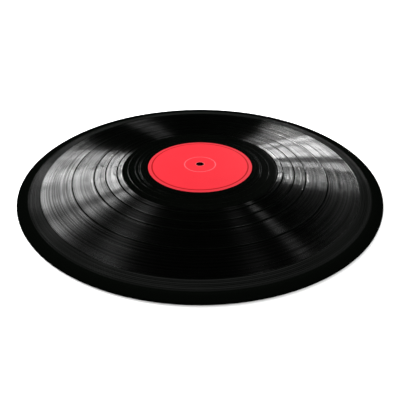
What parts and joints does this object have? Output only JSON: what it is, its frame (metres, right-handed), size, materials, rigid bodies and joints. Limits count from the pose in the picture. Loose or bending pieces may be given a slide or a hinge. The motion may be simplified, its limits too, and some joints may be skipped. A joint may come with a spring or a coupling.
{
  "type": "vinyl record",
  "caption": "Twelve-inch long-playing vinyl record: thin grooved disc with a raised rim and centre, a spindle hole and a red paper label on each side.",
  "frame": {"origin": "centre of the spindle hole, in the plane that the record rests on", "axes": "+Z along the spindle hole, up out of side A; X and Y lie across the disc, which looks the same from all round"},
  "size_m": [0.3016, 0.3016, 0.0019],
  "materials": {
    "black_vinyl": "gloss",
    "red_label": "satin"
  },
  "bodies": {
    "root": {"vinyl_disc": "black_vinyl", "label_side_a": "red_label", "label_side_b": "red_label"}
  },
  "joints": []
}
